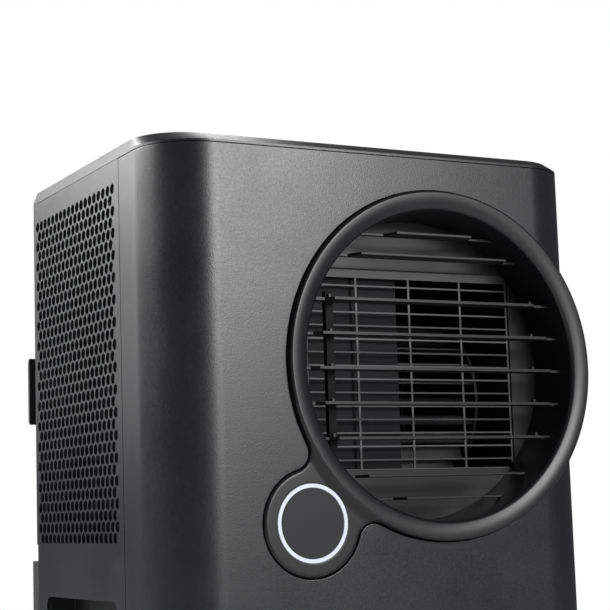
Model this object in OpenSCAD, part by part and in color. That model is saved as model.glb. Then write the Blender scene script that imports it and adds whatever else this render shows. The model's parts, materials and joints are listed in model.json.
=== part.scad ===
// Portable air conditioner with a round louvred outlet in its front.
// X runs to the right as seen from the front, the front faces -Y, Z is up. Millimetres.
// The origin is on the floor, midway across the machine's whole width and depth.
// Inside the modules y counts from the front face of the casing; rig() centres it.

/* [Casing] */
// Width of the casing
body_w = 440; // [430:1:480]
// Depth of the casing, front face to rear face
body_d = 334; // [330:1:370]
// Height of the top above the floor
body_h = 741; // [736:1:800]
// Radius of the front corners
front_r = 57; // [48:1:60]
// Radius of the rear corners
rear_r = 8; // [7.5:0.5:12]
// Wall thickness of the covers
wall = 3; // [2.5:0.1:3.4]
// Height of the covers' lower edge above the floor
skirt_z = 30; // [28:1:34]
// Depth of the front cover's side returns
seam_y = 91; // [85:1:100]
// Gap seen between neighbouring covers
seam_gap = 0.4; // [0.3:0.1:0.8]
// Width of a side panel's return on the rear face
return_w = 36; // [34:1:40]
// Height of the top cover
top_h = 11; // [10:0.5:14]
// How far the top cover's front slopes back
bevel_w = 19; // [8:1:20]
// Upright lip below the bevel
bevel_lip = 2; // [1:0.5:3]

/* [Rear] */
// Distance from the top cover's seam down to the upper rear's lower edge
intake_drop = 342; // [338:1:346]
// Step back of the lower rear face
rear_step = 3; // [2:0.5:4]
// How far the lower housing stands behind the lower rear face
bulge_d = 45; // [40:1:55]
// Radius of the lower housing's edges
bulge_r = 13; // [8:1:16]
// Radius of the exhaust spout's bore
spout_r = 70; // [60:1:70]
// Wall thickness of the exhaust spout
spout_wall = 4; // [3:0.5:5]
// How far the exhaust spout stands behind the lower housing
spout_proud = 16; // [10:1:24]
// Radius of the drain spout
drain_r = 8; // [7:0.5:9]
// Radius of the drain spout's bore
drain_bore_r = 5; // [4:0.5:6]
// Height of a cable hook
hook_h = 68; // [60:1:80]
// How far a cable hook stands behind the rear face
hook_d = 23; // [18:1:28]

/* [Intake holes] */
// Diameter of an intake hole
hole_d = 9.7; // [8:0.1:10]
// Distance between neighbouring holes
hole_pitch = 11.6; // [11.2:0.1:13]
// Rows of holes
hole_rows = 32; // [20:1:32]

/* [Handles] */
// Length of a handle recess
handle_l = 188; // [150:1:190]
// Height of a handle recess
handle_h = 58; // [50:1:60]
// Depth of a handle cup behind the panel
handle_d = 28; // [24:1:30]

/* [Outlet] */
// Outer radius of the outlet collar
collar_r = 159; // [157:0.1:160]
// Gap between the collar and the front cover
collar_gap = 0.9; // [0.6:0.1:1.2]
// Inner radius of the collar
throat_r = 140; // [137:0.5:141]
// How far the collar's flat rim stands in front of the front face
lip_proud = 6.5; // [4:0.5:8]
// Inner radius of the collar's flat rim, where it starts to roll inwards
crest_r = 153.5; // [151:0.5:154]
// Radius of the collar's inward roll
roll_r = 6; // [4:0.5:7]
// Distance from the casing's right side to the outlet's axis
outlet_side = 163.5; // [163:0.5:175]
// Distance from the top cover's seam down to the outlet's axis
outlet_drop = 189.5; // [188:0.5:196]
// Wall thickness of the collar
collar_wall = 2.5; // [2:0.1:3]
// Depth of the collar behind the front face
collar_d = 54; // [50:1:56]

/* [Button] */
// Distance from the outlet's axis to the button's axis
lobe_reach = 196.9; // [195:0.1:200]
// Radius of the collar's lobe round the button
lobe_r = 47; // [44:0.5:50]
// Radius of the hollow between collar and lobe
neck_r = 16; // [12:0.5:20]
// Outer radius of the light ring
ring_r = 34; // [30:0.1:34]
// Width of the light ring
ring_w = 3.5; // [3:0.1:4.5]
// Travel of the button
button_travel = 1.2; // [0.8:0.1:1.3]

/* [Louvres] */
// Distance between neighbouring pivoting blades
blade_pitch = 31; // [28:0.5:32]
// How far the middle blade lies below the outlet's axis
blade_drop = 4; // [0:0.5:5]
// Thickness of a blade
blade_t = 2.4; // [2:0.1:3]
// Depth of a blade
blade_chord = 20; // [19:0.5:21]
// Radius of the circle that the blades' front corners lie on
blade_r = 123.6; // [120:0.1:126]
// Distance from a blade's front edge back to its pivot
pivot_back = 9; // [8:0.5:9]
// Distance from the pivot back to the link pin
crank = 9; // [8.5:0.5:9]
// Radius of a pivot pin
pivot_r = 1.5; // [1.2:0.1:2]
// Running clearance of pins and shafts, on the radius
run_fit = 0.05; // [0.03:0.01:0.08]
// Swing of the blades to each side, in degrees
swing = 25; // [15:1:25]

/* [Casters] */
// Radius of a caster's wheel
wheel_r = 22; // [18:1:23]
// Width of a caster's wheel
wheel_w = 18; // [14:1:20]
// Trail between swivel and axle
trail = 14; // [10:1:16]
// Distance from the casing's side to a swivel
caster_side = 62; // [60:1:66]

/* [Hidden] */
$fn = 96;
hw = body_w / 2;
seam_z = body_h - top_h;
step_z = seam_z - intake_drop;
low_d = body_d - rear_step;
bulge_y = low_d + bulge_d;
spout_end = bulge_y + spout_proud;
y_mid = (spout_end - lip_proud) / 2;
inner = wall + 0.5;
side_bevel = 1.5;
top_r = front_r - 9;

// outlet
cx = hw - outlet_side;
cz = seam_z - outlet_drop;
front_y = 6;
lobe_y = -0.8;
plate_t = 2.5;
plate_back = collar_d + plate_t;
win_w = 111;
win_h = 93;
pivot_y = front_y + pivot_back;
blade_end = front_y + blade_chord;
wing_r = throat_r - 4;
wing_y = front_y + 8;
wing_step = 6;
fin_r = blade_r + 2.9;
fin_wing_y = front_y + 15;
fin_z = [-120, -99.5, 99.5, 120];
pin_r = 1.1;
link_x = cx - 105;
link_w = 7.5;
link_y0 = pivot_y + 5.7;
link_y1 = pivot_y + crank + 2.8;
notch_y = pivot_y + 5;
stub_r = 2;
throat_y = 12;
mid_z = cz - blade_drop;
swing_motor_r = 10;
swing_x0 = cx + 0.5 - sqrt(pow(collar_r - collar_wall, 2) - pow(blade_drop + swing_motor_r, 2));
swing_x1 = cx - throat_r - collar_wall - 5;
guard_t = 1.6;
guard_back = plate_back + guard_t;
baffle_y = guard_back + 6;
mouth_x = cx - 10;

// button
bx = cx - lobe_reach * sin(45);
bz = cz - lobe_reach * cos(45);
lobe_back = wall + 2.7;
button_r = ring_r - ring_w - 0.3;
ring_back = lobe_back + 2.2;
board_y = ring_back + 6.9 + button_travel;

// deck and lower machinery
deck_t = 6;
deck_z = step_z - 10;
base_t = 6;
rim_t = 2.6;

// upper blower: wheel axis along X
blower_y = 178;
blower_r0 = 88;
blower_r1 = 118;
mouth_h = 2 * win_h + 4;
blower_w = win_w + 10;
blower_z = cz + mouth_h / 2 - blower_r1;
shell = 2.5;
fan_r = 78;
shaft_r = 4;
fan_x0 = mouth_x + 7;
fan_len = 105;
motor_len = 55;

// lower blower: wheel axis along Y
cond_x = -66;
cond_z = 222;
cond_r0 = 90;
cond_r1 = 128;
cond_mouth_h = 66;
cond_mouth_l = 100;
cond_y0 = 225;
cond_y1 = 292;
cond_fan_r = 80;
duct_x0 = cond_x + cond_mouth_l;
duct_x1 = hw - return_w - 5;
spout_x = (duct_x0 + duct_x1) / 2;
duct_z0 = 152;
duct_z1 = cond_z + cond_r1 + 2;
spout_z = 235;
duct_y1 = bulge_y - 8;

// coils
coil_t = 26;
evap_w = body_w - 100;
evap_h = seam_z - deck_z - 40;
cond_coil_x0 = 40 - hw;
cond_coil_x1 = cond_coil_x0 + 202;
cond_coil_h = deck_z - deck_t - skirt_z - 27;
filter_t = 4;

// compressor
comp_x = 60;
comp_y = 120;
comp_r = 56;
comp_z = skirt_z + 22;
comp_h = 218;
comp_foot = 66;
tank_x = comp_x + 81;
tank_z = comp_z + 58;
tank_h = 120;
supply_x = -150;

// control box
box_x0 = 27 - hw;
box_l = 130;
box_y1 = 104;
box_h = 110;
box_z1 = deck_z - deck_t;

// small parts at the lower rear
low_port_z = 60;
drain_x = 60;
inlet_x = 130;
spout_len = 14;
shoulder_r = drain_r + 1.6;

// casters
caster_front = 62;
caster_rear = 250;
pocket_r = trail + wheel_r + 7;
fork_top = 2 * wheel_r + 2;
fork_t = 6;
pocket_z = fork_top + fork_t + 6;
stem_r = 5;
stem_l = 20;
axle_r = 3;
cheek_t = 2.5;

handle_y = seam_y + 20;
handle_z1 = seam_z - 392;
handle_z0 = handle_z1 - handle_h;
louver_z = [for (k = [2:-1:-2]) mid_z + k * blade_pitch];

// ---------- helpers ----------

// Moves the front-face coordinates so that the whole machine is centred.
module rig() translate([0, -y_mid, 0]) children();

// Extrudes a front view (x, z) along Y, from y0 for length len.
module along_y(y0, len) translate([0, y0 + len, 0]) rotate([90, 0, 0]) linear_extrude(len) children();

// Extrudes a side view (y, z) along X, from x0 for length len.
module along_x(x0, len) translate([x0, 0, 0]) rotate([90, 0, 90]) linear_extrude(len) children();

module rod_x(x0, len, y, z, r) translate([x0, y, z]) rotate([0, 90, 0]) cylinder(r = r, h = len);

module rod_y(x, y0, len, z, r) translate([x, y0, z]) rotate([-90, 0, 0]) cylinder(r = r, h = len);

module box(x0, x1, y0, y1, z0, z1) translate([x0, y0, z0]) cube([x1 - x0, y1 - y0, z1 - z0]);

function arc(x, y, r, a0, a1, n = 6) =
  [for (i = [0:n]) let (a = a0 + (a1 - a0) * i / n) [x + r * cos(a), y + r * sin(a)]];

// Rectangle with all four corners rounded.
module rounded(x0, y0, x1, y1, r) {
  translate([x0 + r, y0]) square([x1 - x0 - 2 * r, y1 - y0]);
  translate([x0, y0 + r]) square([x1 - x0, y1 - y0 - 2 * r]);
  for (x = [x0 + r, x1 - r], y = [y0 + r, y1 - r]) translate([x, y]) circle(r = r);
}

// Outline of the casing from above, moved inwards by inset.
module plan(inset = 0, depth = body_d) {
  translate([-hw + inset, front_r]) square([body_w - 2 * inset, depth - front_r - rear_r]);
  translate([-hw + front_r, inset]) square([body_w - 2 * front_r, depth - rear_r - inset]);
  translate([-hw + rear_r, front_r]) square([body_w - 2 * rear_r, depth - front_r - inset]);
  for (s = [-1, 1]) {
    translate([s * (hw - front_r), front_r]) circle(r = front_r - inset);
    intersection() {
      translate([s * (hw - rear_r), depth - rear_r]) circle(r = max(rear_r - inset, 0.5));
      translate([-hw, depth / 2]) square([body_w, depth]);
    }
  }
}

module plan_ring(inset, thick, depth = body_d) difference() {
  plan(inset, depth);
  plan(inset + thick, depth);
}

// Points round the collar and its lobe, grown by grow, with the lobe on the +x side.
// A dip draws the collar's own stretch in by that much, to end inside the collar's wall.
function outlet_points(grow, dip) =
  let (a = collar_r + neck_r, b = lobe_r + neck_r,
    t = (a * a - b * b + lobe_reach * lobe_reach) / (2 * lobe_reach), h = sqrt(a * a - t * t),
    at_collar = atan2(h, t), at_lobe = atan2(h, t - lobe_reach), early = dip > 0 ? 4 : 0)
  concat(
    arc(lobe_reach, 0, lobe_r + grow, -at_lobe, at_lobe, 48),
    arc(t, h, neck_r - grow, at_lobe + 180, at_collar + 180 + early, 12),
    arc(0, 0, collar_r + grow - dip, at_collar + 1, 359 - at_collar, 150),
    arc(t, -h, neck_r - grow, 180 - at_collar - early, 180 - at_lobe, 12));

// Front view of collar and lobe.
module outlet_outline(grow = 0, dip = 0)
  translate([cx, cz]) rotate(225) polygon(outlet_points(grow, dip));

// Rows of intake holes, every other row moved by half a pitch.
module holes(x0, cols, odd_cols) {
  row = hole_pitch * sqrt(3) / 2;
  for (j = [0:hole_rows - 1], i = [0:(j % 2 == 0 ? cols : odd_cols) - 1])
    translate([x0 + hole_pitch * (i + (j % 2) / 2), seam_z - 25.1 - row * j]) circle(d = hole_d, $fn = 24);
}

// Scroll of a blower: a growing spiral with a straight mouth towards +x at the top.
module scroll(r0, r1, mouth, len, inset = 0) {
  circle(r = r0 - inset);
  polygon(concat([[0, 0]],
    [for (a = [0:10:270]) let (r = r0 - inset + (r1 - r0) * a / 270) [r * cos(-a), r * sin(-a)]]));
  translate([0, r1 - mouth + inset]) square([len + (inset > 0 ? 1 : 0), mouth - 2 * inset]);
}

// Louvre blade from above: a straight front and two wings set back.
module blade_plan(half, wing_half, back_y) polygon([
  [-wing_half, blade_end], [-wing_half, back_y], [-half - wing_step, back_y], [-half, front_y],
  [half, front_y], [half + wing_step, back_y], [wing_half, back_y], [wing_half, blade_end]]);

// Straight runs of tube with rounded corners.
module tube(points, r) for (i = [0:len(points) - 2]) {
  d = points[i + 1] - points[i];
  l = norm(d);
  translate(points[i]) rotate([0, acos(d[2] / l), atan2(d[1], d[0])]) cylinder(r = r, h = l, $fn = 24);
  if (i > 0) translate(points[i]) sphere(r = r, $fn = 24);
}

// ---------- casing ----------

module base_tray() color("#26272b") rig() difference() {
  union() {
    translate([0, 0, skirt_z - base_t]) linear_extrude(base_t) plan(0, low_d);
    translate([0, 0, skirt_z - 1]) linear_extrude(17) plan_ring(inner, rim_t, low_d);
    for (x = [-1, 1], y = [caster_front, caster_rear]) translate([x * (hw - caster_side), y, 0]) {
      translate([0, 0, skirt_z - 1]) cylinder(r = pocket_r + 3, h = pocket_z + 4 - skirt_z + 1);
      translate([0, 0, pocket_z + 3]) cylinder(r = stem_r + 4, h = stem_l - 3);
    }
    box(drain_x - 10, drain_x + 10, low_d - 26, low_d - inner - rim_t / 2, skirt_z - 1, low_port_z + 10);
    rod_y(drain_x, low_d - 20, 20, low_port_z, shoulder_r);
    rod_y(drain_x, low_d - 1, 1 + spout_len, low_port_z, drain_r);
  }
  for (x = [-1, 1], y = [caster_front, caster_rear]) translate([x * (hw - caster_side), y, 0]) {
    cylinder(r = pocket_r, h = pocket_z);
    cylinder(r = stem_r + run_fit, h = pocket_z + stem_l + 1);
  }
  rod_y(drain_x, low_d - 30, 60, low_port_z, drain_bore_r);
  for (x = [-150, -50, 40, 160]) rod_y(x, low_d - 8, 9, skirt_z + 8, 1.9);
}

module front_cover() color("#3a3b40") rig() difference() {
  translate([0, 0, skirt_z]) linear_extrude(seam_z - skirt_z - seam_gap) intersection() {
    plan_ring(0, wall);
    translate([-hw - 1, -1]) square([body_w + 2, seam_y - seam_gap / 2 + 1]);
  }
  along_y(-1, front_r + 1) outlet_outline(collar_gap);
}

module panel_plan(depth) intersection() {
  plan_ring(0, wall, depth);
  translate([hw - return_w, seam_y + seam_gap / 2]) square([return_w + 1, depth]);
}

module side_panel(side) color("#3b3c42") rig() mirror([side < 0 ? 1 : 0, 0, 0]) difference() {
  union() {
    translate([0, 0, skirt_z]) linear_extrude(step_z + wall - skirt_z) panel_plan(low_d);
    translate([0, 0, step_z]) linear_extrude(seam_z - seam_gap - step_z) panel_plan(body_d);
  }
  x0 = seam_y + 15.4;
  fit = (body_d - rear_r - hole_d / 2 - 1 - x0) / hole_pitch;
  along_x(hw - wall - 1, wall + 2) holes(x0, floor(fit) + 1, floor(fit - 0.5) + 1);
  along_y(low_d - wall - 1, body_d - low_d + wall + 2) holes(hw - return_w + 7, 2, 1);
  along_x(hw - wall - 1, wall + 2) rounded(handle_y, handle_z0, handle_y + handle_l, handle_z1, 9);
}

module rear_grille() color("#3b3c42") rig() {
  half = hw - return_w - seam_gap;
  z0 = step_z + seam_gap;
  z1 = seam_z - seam_gap;
  cols = floor((2 * half - 16) / hole_pitch);
  along_y(body_d - wall, wall) difference() {
    translate([-half, z0]) square([2 * half, z1 - z0]);
    holes(-hole_pitch * (cols - 0.5) / 2, cols, cols);
  }
  for (s = [-1, 1]) box(s * (evap_w / 2 + 9.4) - 1, s * (evap_w / 2 + 9.4) + 1,
    body_d - wall - filter_t - 0.4, body_d - wall + 0.5, z0 + 20, z1 - 20);
}

module air_filter() color("#6d7076") rig() {
  half = evap_w / 2 + 8;
  z0 = step_z + 5;
  z1 = seam_z - 12;
  along_y(body_d - wall - 0.2 - filter_t, filter_t) {
    difference() {
      translate([-half, z0]) square([2 * half, z1 - z0]);
      translate([-half + 8, z0 + 8]) square([2 * half - 16, z1 - z0 - 16]);
    }
    for (i = [-5:5]) translate([i * half / 6 - 1, z0 + 4]) square([2, z1 - z0 - 8]);
    for (j = [1:9]) translate([-half + 4, z0 + j * (z1 - z0) / 10 - 1]) square([2 * half - 8, 2]);
  }
}

// Rear housing below the intake: rounded from the side and from above.
module bulge(inset) {
  x1 = hw - 8 - inset;
  z0 = skirt_z + 70 + inset;
  z1 = step_z - 17 - inset;
  y1 = bulge_y - inset;
  r = bulge_r - inset;
  intersection() {
    along_x(-x1, 2 * x1) intersection() {
      rounded(low_d - 40, z0, y1, z1, r);
      translate([low_d, z0]) square([bulge_d, z1 - z0]);
    }
    translate([0, 0, z0]) linear_extrude(z1 - z0) intersection() {
      rounded(-x1, low_d - 40, x1, y1, r);
      translate([-x1, low_d]) square([2 * x1, bulge_d]);
    }
  }
}

module lower_rear_cover() color("#2c2d32") rig() difference() {
  half = hw - return_w - seam_gap;
  union() {
    box(-half, half, low_d - wall, low_d, skirt_z, step_z);
    bulge(0);
  }
  difference() {
    translate([0, -0.01, 0]) bulge(2.5);
    box(-hw, hw, low_d - 1, low_d, 0, body_h);
  }
  box(-half + 4, half - 4, low_d - wall - 1, low_d + 1, skirt_z + 78, step_z - 22);
  along_y(bulge_y - 4, 5) for (j = [0:18], i = [0:2])
    translate([cond_coil_x0 - 2 + i * 68, skirt_z + 92 + j * 11.4]) square([62, 6]);
  rod_y(spout_x, bulge_y - 4, 5, spout_z, spout_r + spout_wall + 0.4);
  rod_y(drain_x, low_d - wall - 1, wall + 2, low_port_z, shoulder_r + 0.4);
  rod_y(inlet_x, low_d - wall - 1, wall + 2, low_port_z, 9.2);
  for (x = [-150, -50, 40, 160]) rod_y(x, low_d - wall - 1, wall + 2, skirt_z + 8, 2.2);
}

// Slab with the casing's outline, sloping back at the front and a little elsewhere.
module sloped_top() hull() {
  linear_extrude(bevel_lip) plan();
  for (s = [-1, 1]) {
    translate([s * (hw - side_bevel - top_r), bevel_w + top_r, 0]) cylinder(r = top_r, h = top_h);
    translate([s * (hw - side_bevel - rear_r), body_d - 8 - rear_r, 0]) cylinder(r = rear_r, h = top_h);
  }
}

module top_cover() color("#3a3b40") rig() {
  difference() {
    translate([0, 0, seam_z]) sloped_top();
    translate([0, 0, seam_z - 1]) linear_extrude(top_h - 4) plan(bevel_w + 3);
    panel_box(0.3, 1);
  }
  translate([0, 0, seam_z - 8]) linear_extrude(8.5) plan_ring(wall + 0.4, 2);
}

module panel_box(play, over) box(-100 - play, 100 + play, 42 - play, 98 + play,
  body_h - 2.5, body_h + over);

module control_panel() color("#121317") rig() panel_box(0, 0);

module handle_cup(side) color("#1d1e21") rig() mirror([side < 0 ? 1 : 0, 0, 0]) {
  x1 = hw - wall;
  x0 = x1 - handle_d;
  t = 2.2;
  difference() {
    translate([0, handle_y + handle_l + 4, 0]) rotate([90, 0, 0]) linear_extrude(handle_l + 8)
      polygon([[x1, handle_z0 - 4], [x1, handle_z1 + 14], [x0, handle_z1 + 14], [x0, handle_z0 + 20]]);
    translate([0, handle_y + handle_l, 0]) rotate([90, 0, 0]) linear_extrude(handle_l)
      polygon([[x1 + 1, handle_z0], [x1 + 1, handle_z1], [x1 - t, handle_z1], [x1 - t, handle_z1 + 14 - t],
        [x0 + t, handle_z1 + 14 - t], [x0 + t, handle_z0 + 24], [x1, handle_z0]]);
  }
}

module cable_hook(side) color("#1b1c1f") rig() mirror([side < 0 ? 1 : 0, 0, 0]) {
  z0 = seam_z - 222;
  y1 = body_d + hook_d;
  along_x(hw - 30, 8) intersection() {
    rounded(body_d - 20, z0, y1, z0 + hook_h, 6);
    translate([body_d, z0]) square([hook_d, hook_h]);
  }
  along_x(hw - 30, 28) intersection() {
    rounded(body_d - 20, z0, y1, z0 + hook_h, 6);
    translate([y1 - 4.5, z0]) square([4.5, hook_h]);
  }
}

module power_inlet() color("#151618") rig() difference() {
  union() {
    rod_y(inlet_x, low_d - wall - 6, wall + 8, low_port_z, 8.9);
    rod_y(inlet_x, low_d, 3, low_port_z, 13);
    translate([inlet_x, low_d + 3, low_port_z]) rotate([-90, 0, 0]) cylinder(r1 = 9, r2 = 6, h = 11);
    rod_y(inlet_x, low_d - wall - 4, 4, low_port_z, 12);
  }
  rod_y(inlet_x, low_d - wall - 7, wall + 30, low_port_z, 3.7);
}

module drain_plug() color("#101113") rig() {
  rod_y(drain_x, low_d + 2, spout_len - 2, low_port_z, drain_bore_r - run_fit);
  rod_y(drain_x, low_d + spout_len, 3.5, low_port_z, drain_r - 0.5);
  box(drain_x - 1.5, drain_x + 1.5, low_d + spout_len + 3, low_d + spout_len + 10, low_port_z - 5,
    low_port_z + 5);
}

module case_screws() color("#8b8d90") rig() for (x = [-150, -50, 40, 160]) {
  rod_y(x, low_d - 6, 6, skirt_z + 8, 1.8);
  difference() {
    rod_y(x, low_d, 2.2, skirt_z + 8, 3.8);
    for (a = [0, 90])
      translate([x, low_d + 2.2, skirt_z + 8]) rotate([0, a, 0]) cube([4, 2, 0.8], center = true);
  }
}

// ---------- outlet ----------

module collar_profile() {
  w = collar_wall;
  corner = 2.5;
  roll_y = roll_r - lip_proud;
  dr = throat_r - crest_r;
  dy = throat_y - roll_y;
  roll_end = atan2(dy, dr) + acos(roll_r / norm([dr, dy])) - 360;
  polygon(concat(
    [[collar_r, collar_d]],
    arc(collar_r - corner, corner - lip_proud, corner, 0, -90),
    arc(crest_r, roll_y, roll_r, -90, roll_end, 10),
    [[throat_r, throat_y], [throat_r, collar_d], [throat_r + w, collar_d],
      [throat_r + w, throat_y + w * tan(roll_end / 2 + 90)]],
    arc(crest_r, roll_y, roll_r - w, roll_end, -90, 10),
    [[collar_r - w, w - lip_proud], [collar_r - w, collar_d]]));
}

module outlet_collar() color("#2a2b2f") rig() difference() {
  union() {
    translate([cx, 0, cz]) rotate([-90, 0, 0]) rotate_extrude($fn = 180) collar_profile();
    along_y(lobe_y, lobe_back - lobe_y) difference() {
      outlet_outline(0, 0.6);
      translate([cx, cz]) circle(r = collar_r - 1, $fn = 180);
    }
    intersection() {
      along_y(wall + 0.2, lobe_back - wall - 0.2) difference() {
        outlet_outline(8);
        translate([cx, cz]) circle(r = collar_r - 1, $fn = 180);
      }
      linear_extrude(body_h) plan(wall + 0.3);
    }
    for (a = [-100, -35, 35, 100])
      rod_y(bx + 41 * cos(225 + a), lobe_back - 1, board_y - lobe_back + 1, bz + 41 * sin(225 + a), 2.5);
  }
  rod_y(bx, lobe_y - 1, lobe_back - lobe_y + 2, bz, ring_r + 0.2);
  for (z = louver_z, s = [-1, 1]) {
    end = sqrt(pow(throat_r + collar_wall + 1, 2) - pow(z - cz, 2));
    rod_x(cx + (s < 0 ? -end : 100), end - 100, pivot_y, z, pivot_r + run_fit);
  }
  rod_x(cx - throat_r - collar_wall - 1, 20, pivot_y, mid_z, stub_r + 0.4);
}

module light_ring() color("#e9e9f2") rig() difference() {
  union() {
    rod_y(bx, lobe_y, ring_back - lobe_y, bz, ring_r);
    rod_y(bx, lobe_back + 0.2, 2, bz, ring_r + 3.3);
  }
  rod_y(bx, lobe_y - 1, ring_back - lobe_y + 2, bz, ring_r - ring_w);
  rod_y(cx, lobe_back, 4, cz, collar_r + 0.4);
}

module power_button() color("#303138") rig() {
  rod_y(bx, lobe_y, ring_back + 0.1 - lobe_y, bz, button_r);
  rod_y(bx, ring_back + 0.1, 1.6, bz, ring_r - 1.5);
  rod_y(bx, ring_back + 1.6, 2.5, bz, 3);
}

module button_board() color("#2f5b3a") rig() {
  difference() {
    rod_y(bx, board_y, 1.6, bz, 44);
    rod_y(cx, board_y - 1, 4, cz, collar_r + 0.4);
  }
  rod_y(bx, board_y - 2.3, 2.4, bz, 3.4);
}

module collar_insert() color("#2e2f33") rig() intersection() {
  along_y(collar_d, plate_t) difference() {
    translate([cx, cz]) circle(r = collar_r - 0.4, $fn = 180);
    translate([cx - win_w, cz - win_h]) square([2 * win_w, 2 * win_h]);
  }
  linear_extrude(body_h) plan(wall + 0.3);
}

module fixed_fins() color("#45464b") rig() intersection() {
  for (z = fin_z) translate([cx, 0, cz + z - blade_t / 2]) linear_extrude(blade_t)
    blade_plan(sqrt(fin_r * fin_r - z * z), throat_r, fin_wing_y);
  rod_y(cx, 0, collar_d, cz, throat_r - 0.2);
}

module louver(i) color("#4a4b50") rig() {
  z = louver_z[i - 1];
  dz = z - cz;
  tip = sqrt(wing_r * wing_r - dz * dz);
  pin_end = sqrt(pow(throat_r + collar_wall - 0.3, 2) - dz * dz);
  difference() {
    translate([cx, 0, z - blade_t / 2]) linear_extrude(blade_t)
      blade_plan(sqrt(blade_r * blade_r - pow(z - mid_z, 2)), tip, wing_y);
    box(link_x - link_w / 2 - 0.75, link_x + link_w / 2 + 0.75, notch_y, blade_end + 1, z - 5, z + 5);
  }
  rod_x(link_x - link_w / 2 - 1, link_w + 2, pivot_y + crank, z, pin_r);
  for (s = [-1, 1]) {
    rod_x(s < 0 ? cx - pin_end : cx + tip - 1, pin_end - tip + 1, pivot_y, z, pivot_r);
    box(cx + s * 108 - 1.2, cx + s * 108 + 1.2, pivot_y - 2, pivot_y + 2, z, z + blade_t / 2 + 3.2);
  }
  if (i == 3) rod_x(swing_x1 - 5, cx - throat_r + 5 - swing_x1 + 5, pivot_y, z, stub_r);
}

module louver_link() color("#111214") rig() {
  drop = crank * (1 - cos(swing));
  difference() {
    box(link_x - link_w / 2, link_x + link_w / 2, link_y0, link_y1, louver_z[4] - 8, louver_z[0] + 8);
    for (z = louver_z) {
      y0 = pivot_y + crank - drop - 0.1;
      y1 = pivot_y + crank + 0.1;
      for (y = [y0, y1]) rod_x(link_x - link_w, 2 * link_w, y, z, pin_r + 0.25);
      box(link_x - link_w, link_x + link_w, y0, y1, z - pin_r - 0.25, z + pin_r + 0.25);
    }
  }
}

module swing_motor() color("#9a9ca0") rig() difference() {
  union() {
    rod_x(swing_x0, swing_x1 - swing_x0, pivot_y, mid_z, swing_motor_r);
    box(swing_x0, swing_x0 + 4, pivot_y, collar_d, mid_z - 7, mid_z + 7);
  }
  rod_x(swing_x1 - 5.5, 20, pivot_y, mid_z, stub_r + run_fit);
}

module outlet_guard() color("#55565a") rig() along_y(plate_back, guard_t) translate([cx, cz]) {
  difference() {
    translate([-win_w - 3, -win_h - 4]) square([2 * win_w + 6, 2 * win_h + 8]);
    translate([-win_w + 2, -win_h + 1]) square([2 * win_w - 4, 2 * win_h - 9]);
  }
  for (j = [0:13]) translate([-win_w, 77.5 - 12.4 * j - 0.7]) square([2 * win_w, 1.4]);
  for (x = [-57, 0, 57]) translate([x - 1, -win_h]) square([2, 2 * win_h]);
}

module outlet_baffle() color("#6a6b70") rig() {
  x0 = cx - win_w - 2;
  z0 = cz - mouth_h / 2;
  box(x0, mouth_x, baffle_y, baffle_y + 2.5, z0, z0 + mouth_h);
  box(x0, x0 + 2.5, guard_back, baffle_y + 1, z0, z0 + mouth_h);
  for (z = [z0, z0 + mouth_h - 2.5]) box(x0, mouth_x - shell - 0.3, guard_back, baffle_y + 1, z, z + 2.5);
}

// ---------- upper air path ----------

module blower_scroll(inset) translate([0, blower_y, blower_z]) rotate([90, 0, -90])
  translate([0, 0, -mouth_x - blower_w - shell + inset]) linear_extrude(blower_w + 2 * (shell - inset))
    scroll(blower_r0, blower_r1, mouth_h, blower_y - guard_back, inset);

module blower_housing() color("#1a1b1d") rig() difference() {
  union() {
    blower_scroll(0);
    for (y = [blower_y - 22, blower_y + 18])
      box(mouth_x + 4, mouth_x + 74, y, y + 4, deck_z, blower_z - blower_r0);
  }
  blower_scroll(shell);
  rod_x(mouth_x + blower_w - 1, shell + 3, blower_y, blower_z, 62);
  rod_x(mouth_x - shell - 2, shell + 4, blower_y, blower_z, shaft_r + 2);
  box(mouth_x - shell - 1, mouth_x + 0.05, 0, baffle_y + 2.5, 0, body_h);
}

// Drum of blades between a back plate and an end ring, with its shaft; axis along Z.
module fan_wheel(r, len, blades, shaft_back) {
  difference() {
    union() {
      cylinder(r = r, h = 3);
      cylinder(r = 13, h = 22);
    }
    translate([0, 0, -1]) cylinder(r = shaft_r, h = 30);
  }
  translate([0, 0, -shaft_back]) cylinder(r = shaft_r, h = shaft_back + 22);
  translate([0, 0, len - 3]) difference() {
    cylinder(r = r, h = 3);
    translate([0, 0, -1]) cylinder(r = r - 13, h = 5);
  }
  for (i = [0:blades - 1]) rotate(i * 360 / blades) translate([r - 12.5, 0, 2])
    rotate(25) translate([0, -0.8, 0]) cube([12, 1.6, len - 4]);
}

module blower_wheel() color("#2b2c30") rig() translate([fan_x0, blower_y, blower_z])
  rotate([0, 90, 0]) fan_wheel(fan_r, fan_len, 24, 50);

module motor_body(r, len) {
  difference() {
    union() {
      cylinder(r = r, h = len);
      translate([0, 0, len - 4]) cylinder(r = r + 8, h = 4);
    }
    translate([0, 0, 6]) cylinder(r = shaft_r + run_fit, h = len);
  }
}

module blower_motor() color("#7d7f83") rig()
  translate([mouth_x - shell - motor_len, blower_y, blower_z]) rotate([0, 90, 0]) motor_body(38, motor_len);

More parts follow.
